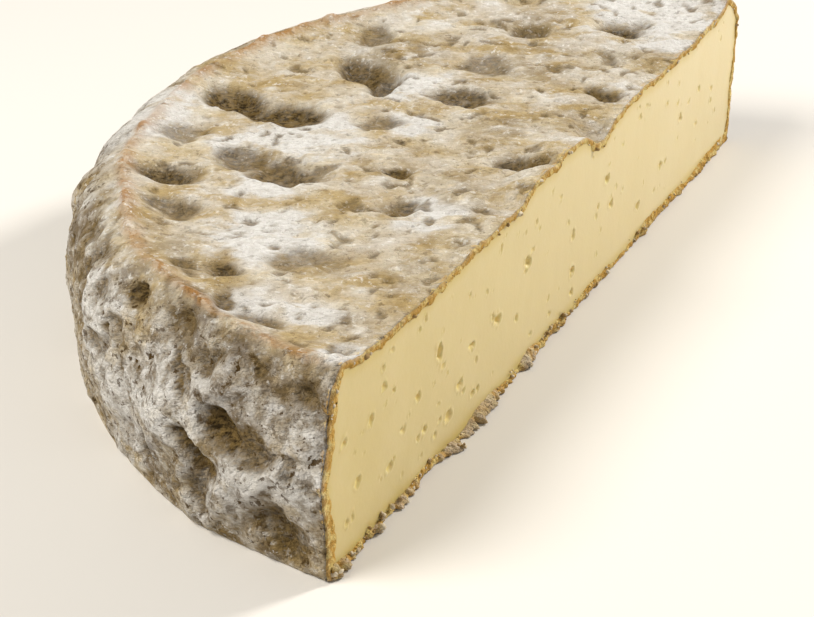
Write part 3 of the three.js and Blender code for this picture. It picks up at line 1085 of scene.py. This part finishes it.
def mould(tree, colour, marks):
    """White bloom on what stands up, slate and olive patches, painted brown shade in the low places, and
    white dust.
    """
    tints = bpy.context.scene.tomme_colours
    side, bloom = marks["side"], marks["bloom"]
    veil = combine(tree, "ADD", scaled(tree, marks["lump"], 0.95), scaled(tree, bloom, 1.3))
    white = times(tree, mottle(tree, 0.007, 0.38, 0.55, 6.0, 11.0, 1.7), veil)
    white = combine(tree, "ADD", white, times(tree, bloom, scaled(tree, side, 0.1, 0.4)))
    colour = layer(tree, colour, tints.bloom, white)
    slates = times(tree, marks["slate"], mottle(tree, 0.006, 0.30, 0.58, 5.0, 19.0))
    colour = layer(tree, colour, tints.slate, scaled(tree, slates, 0.88))
    olives = times(tree, marks["olive"], mottle(tree, 0.004, 0.34, 0.60, 5.0, 23.0))
    colour = layer(tree, colour, tints.olive, times(tree, olives, scaled(tree, side, 0.4, 0.52)))
    # Painted shade: the low places are darkened to brown, more on the side, broken up by the fuzz.
    low_shade = times(tree, marks["low"], scaled(tree, side, 0.6, 0.3))
    low_shade = times(tree, low_shade, scaled(tree, marks["fuzz"], 0.9, 0.15))
    colour = layer(tree, colour, paint(116, 96, 60), low_shade)
    dust = times(tree, bloom, mottle(tree, 0.004, 0.36, 0.58, 5.0, 27.0, 1.5))
    return layer(tree, colour, paint(242, 241, 239), times(tree, dust, scaled(tree, side, -0.25, 0.65)))


def hollow_browns(tree, colour, marks):
    """Brown slopes and dark floors of the hollows."""
    tints = bpy.context.scene.tomme_colours
    colour = layer(tree, colour, paint(150, 126, 78), scaled(tree, marks["dark"], 0.6))
    floor = layer(tree, tints.hollow, tints.fuzz, marks["grain"])
    return layer(tree, colour, floor, times(tree, marks["dark"], scaled(tree, marks["fuzz"], 0.3, 0.86)))


def rim_crust(tree, colour, marks):
    """Orange crest of the rim with pale crust on it."""
    worn = times(tree, marks["rim"], mottle(tree, 0.005, 0.32, 0.52, 6.0, 2.0))
    colour = layer(tree, colour, bpy.context.scene.tomme_colours.rim, scaled(tree, worn, 0.9))
    crust = times(tree, marks["rim"], mottle(tree, 0.0028, 0.50, 0.58, 4.0, 29.0))
    return layer(tree, colour, paint(240, 232, 216), scaled(tree, crust, 0.4))


def specks(tree, colour, marks):
    """Dark and pale specks of the side, fine grain, brown flecks and white crumbs of mould."""
    side, clear = marks["side"], marks["clear"]
    pepper = times(tree, side, mottle(tree, 0.0024, 0.52, 0.62, 5.0, 31.0))
    colour = layer(tree, colour, paint(96, 77, 46), scaled(tree, pepper, 0.6))
    salt = times(tree, times(tree, side, clear), mottle(tree, 0.003, 0.50, 0.60, 5.0, 37.0))
    colour = layer(tree, colour, paint(240, 236, 228), scaled(tree, salt, 0.6))
    colour = layer(tree, colour, paint(124, 106, 74), scaled(tree, marks["grain"], 0.17))
    often = combine(tree, "ADD", scaled(tree, marks["low"], 0.55), scaled(tree, side, 0.55))
    flecks = times(tree, mottle(tree, 0.0017, 0.59, 0.65, 3.0, 14.0), often)
    colour = layer(tree, colour, paint(82, 62, 30), flecks)
    crumbs = times(tree, mottle(tree, 0.0013, 0.58, 0.66, 3.0, 17.0), clear)
    return layer(tree, colour, paint(246, 244, 240), scaled(tree, crumbs, 0.8))


def cut_browns(tree, colour, marks):
    """Brown and straw yellow of the rind where it is cut."""
    edge = bpy.context.scene.tomme_colours.edge
    browns = layer(tree, edge, paint(232, 206, 132), mottle(tree, 0.002, 0.46, 0.62, 3.0, 1.0))
    return layer(tree, colour, browns, marks["edge"])


def rind_material():
    """Dry rind: cream felt with white bloom, grey fuzz, dark hollows, painted shade in its low places, an
    orange rim and a brown cut edge.
    """
    found = bpy.data.materials.get("Tomme Rind")
    if found:
        return found
    material, tree, shader = new_material("Tomme Rind")
    marks = {name: attribute(tree, name) for name in RIND_MASKS}
    # Low places of the rind: painted shade goes there, and brown flecks come more often there.
    marks["low"] = scaled(tree, marks["lump"], -1.0, 1.0)
    marks["clear"] = times(tree, marks["lump"], scaled(tree, marks["dark"], -1.0, 1.0))
    marks["grain"] = mottle(tree, 0.0008, 0.36, 0.64, 3.0, 9.0, 1.8)
    marks["fuzz"] = mottle(tree, 0.0018, 0.32, 0.62, 4.0, 5.0)
    colour = bare_rind(tree, marks)
    for add_coat in (mould, hollow_browns, rim_crust, specks, cut_browns):
        colour = add_coat(tree, colour, marks)
    tree.links.new(colour, shader.inputs["Base Color"])
    shader.inputs["Roughness"].default_value = 0.92
    shader.inputs["Specular IOR Level"].default_value = 0.2
    felt = combine(tree, "ADD", mottle(tree, 0.0006, 0.2, 0.8, 4.0, 4.0), scaled(tree, marks["fuzz"], 0.6))
    felt = combine(tree, "ADD", felt, mottle(tree, 0.0014, 0.3, 0.7, 3.0, 6.0, 3.0))
    add_bump(tree, shader, felt, 1.0, 0.00045)
    return material


def paste_material():
    """Cut paste: pale yellow, darker and yellower towards the near end as painted shade, golden under the
    rind, with eyes lightened as painted light against their shade, a soft sheen and light bleeding through
    it.
    """
    tints = bpy.context.scene.tomme_colours
    material, tree, shader = new_material("Tomme Paste")
    golden = node(tree, "ShaderNodeMapRange", interpolation_type="SMOOTHSTEP", _From_Min=4.0, _From_Max=0.2)
    tree.links.new(attribute(tree, "skin"), golden.inputs["Value"])
    place = node(tree, "ShaderNodeTexCoord")
    axes = node(tree, "ShaderNodeSeparateXYZ")
    along = node(tree, "ShaderNodeMapRange", _From_Min=-0.11, _From_Max=0.06)
    tree.links.new(place.outputs["Object"], axes.inputs[0])
    tree.links.new(axes.outputs["X"], along.inputs["Value"])
    # Painted shade: the paste darkens from the far end to the near end, away from the key light, and is
    # yellower there.
    colour = layer(tree, tints.paste_near, tints.paste_far, along.outputs["Result"])
    cloud = mottle(tree, 0.02, 0.35, 0.65, 3.0)
    colour = layer(tree, colour, paint(214, 196, 146), scaled(tree, cloud, 0.5))
    colour = layer(tree, colour, paint(200, 174, 92), scaled(tree, golden.outputs["Result"], 0.7))
    # Eyes: a golden tint, lighter than the paste as painted light that fills in the shade inside the eye
    # pits.
    colour = layer(tree, colour, paint(236, 214, 130), scaled(tree, attribute(tree, "eye"), 0.7))
    tree.links.new(colour, shader.inputs["Base Color"])
    shader.inputs["Roughness"].default_value = 0.36
    shader.inputs["Specular IOR Level"].default_value = 0.3
    shader.inputs["Subsurface Weight"].default_value = 0.3
    shader.inputs["Subsurface Radius"].default_value = (1.0, 0.7, 0.3)
    shader.inputs["Subsurface Scale"].default_value = 0.003
    add_bump(tree, shader, mottle(tree, 0.0012, 0.3, 0.7, 3.0, 2.0), 0.04, 0.0003)
    return material


def crumb_material():
    """Crumbs: torn brown and whitish rind."""
    material, tree, shader = new_material("Tomme Crumbs")
    colour = layer(tree, paint(150, 124, 82), paint(212, 200, 176), mottle(tree, 0.003, 0.42, 0.60, 3.0))
    tree.links.new(colour, shader.inputs["Base Color"])
    shader.inputs["Roughness"].default_value = 0.9
    shader.inputs["Specular IOR Level"].default_value = 0.2
    return material


def add_light(name, place, aim, size, power, colour):
    """A round area light that points at a place."""
    lamp = bpy.data.lights.new(name, "AREA")
    lamp.shape = "DISK"
    lamp.size = size
    lamp.energy = power
    lamp.color = colour
    holder = bpy.data.objects.new(name, lamp)
    holder.location = place
    holder.rotation_euler = (Vector(aim) - Vector(place)).to_track_quat("-Z", "Y").to_euler()
    bpy.context.scene.collection.objects.link(holder)


def build_stage():
    """Camera at the photo's place, pale floor, a key light over the cut and a softer fill from behind."""
    scene = bpy.context.scene
    studio = scene.tomme_studio
    eye = bpy.data.cameras.new("camera")
    eye.lens = studio.lens
    eye.sensor_width = 36.0
    eye.sensor_fit = "HORIZONTAL"
    camera = bpy.data.objects.new("camera", eye)
    right = Vector(CAMERA_RIGHT).normalized()
    up = Vector(CAMERA_UP)
    up = (up - right * up.dot(right)).normalized()
    turn = Matrix((right, up, right.cross(up))).transposed().to_4x4()
    place = Vector(CAMERA_PLACE) + Vector((0.0, scene.tomme_wheel.cut_y, 0.0))
    camera.matrix_world = Matrix.Translation(place) @ turn
    scene.collection.objects.link(camera)
    scene.camera = camera

    floor_mesh = bpy.data.meshes.new("floor")
    sheet = bmesh.new()
    bmesh.ops.create_grid(sheet, x_segments=1, y_segments=1, size=3.0)
    sheet.to_mesh(floor_mesh)
    sheet.free()
    material, _, shader = new_material("floor")
    shader.inputs["Base Color"].default_value = (0.72, 0.70, 0.67, 1.0)
    shader.inputs["Roughness"].default_value = 0.8
    floor_mesh.materials.append(material)
    floor = bpy.data.objects.new("floor", floor_mesh)
    scene.collection.objects.link(floor)

    world = bpy.data.worlds.new("studio")
    world.use_nodes = True
    world.node_tree.nodes["Background"].inputs["Color"].default_value = (1.0, 0.99, 0.97, 1.0)
    world.node_tree.nodes["Background"].inputs["Strength"].default_value = studio.sky
    scene.world = world
    scene.view_settings.view_transform = "Standard"
    add_light("key", (0.78, -0.58, 0.62), (0.0, 0.0, 0.02), 0.24, studio.key_power, (1.0, 0.96, 0.9))
    add_light("fill", (-0.5, 0.35, 0.75), (-0.05, 0.0, 0.02), 0.5, studio.fill_power, (1.0, 0.95, 0.86))


class TOMME_OT_rind(bpy.types.Operator):
    """Build the rind"""

    bl_idname = "tomme.build_rind"
    bl_label = "Build Rind"

    def execute(self, context):
        build_rind()
        return {"FINISHED"}


class TOMME_OT_paste(bpy.types.Operator):
    """Build the cut paste with its eyes"""

    bl_idname = "tomme.build_paste"
    bl_label = "Build Paste"

    def execute(self, context):
        build_paste()
        return {"FINISHED"}


class TOMME_OT_cut_edge(bpy.types.Operator):
    """Build the torn edge of the rind round the cut"""

    bl_idname = "tomme.build_cut_edge"
    bl_label = "Build Cut Edge"

    def execute(self, context):
        build_cut_edge()
        return {"FINISHED"}


class TOMME_OT_crumbs(bpy.types.Operator):
    """Scatter crumbs along the cut"""

    bl_idname = "tomme.build_crumbs"
    bl_label = "Scatter Crumbs"

    def execute(self, context):
        build_crumbs()
        return {"FINISHED"}


class TOMME_OT_stage(bpy.types.Operator):
    """Set up the camera, floor and lights"""

    bl_idname = "tomme.build_stage"
    bl_label = "Set Up Studio"

    def execute(self, context):
        build_stage()
        return {"FINISHED"}


class TOMME_PT_panel(bpy.types.Panel):
    """Sizes and colours of the half wheel, and buttons that build it"""

    bl_label = "Half Tomme"
    bl_idname = "TOMME_PT_panel"
    bl_space_type = "VIEW_3D"
    bl_region_type = "UI"
    bl_category = "Tomme"

    def draw(self, context):
        for name in GROUPS:
            settings = getattr(context.scene, name)
            box = self.layout.box()
            for key in settings.__annotations__:
                box.prop(settings, key)
        for operator in OPERATORS:
            self.layout.operator(operator.bl_idname)


GROUPS = {
    "tomme_wheel": TommeWheel,
    "tomme_rind": TommeRind,
    "tomme_paste": TommePaste,
    "tomme_crumbs": TommeCrumbs,
    "tomme_colours": TommeColours,
    "tomme_studio": TommeStudio,
}
OPERATORS = (TOMME_OT_rind, TOMME_OT_paste, TOMME_OT_cut_edge, TOMME_OT_crumbs, TOMME_OT_stage)


def register():
    """Makes the settings, operators and panel known."""
    for group in GROUPS.values():
        bpy.utils.register_class(group)
    for name, group in GROUPS.items():
        setattr(bpy.types.Scene, name, PointerProperty(type=group))
    for operator in OPERATORS:
        bpy.utils.register_class(operator)
    bpy.utils.register_class(TOMME_PT_panel)


def unregister():
    """Takes them away again."""
    bpy.utils.unregister_class(TOMME_PT_panel)
    for operator in reversed(OPERATORS):
        bpy.utils.unregister_class(operator)
    for name in GROUPS:
        delattr(bpy.types.Scene, name)
    for group in reversed(list(GROUPS.values())):
        bpy.utils.unregister_class(group)


def main():
    """Builds the pieces and the stage."""
    register()
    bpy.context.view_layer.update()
    bpy.ops.tomme.build_rind()
    bpy.ops.tomme.build_paste()
    bpy.ops.tomme.build_cut_edge()
    bpy.ops.tomme.build_crumbs()
    bpy.ops.tomme.build_stage()


if __name__ == "__main__":
    main()
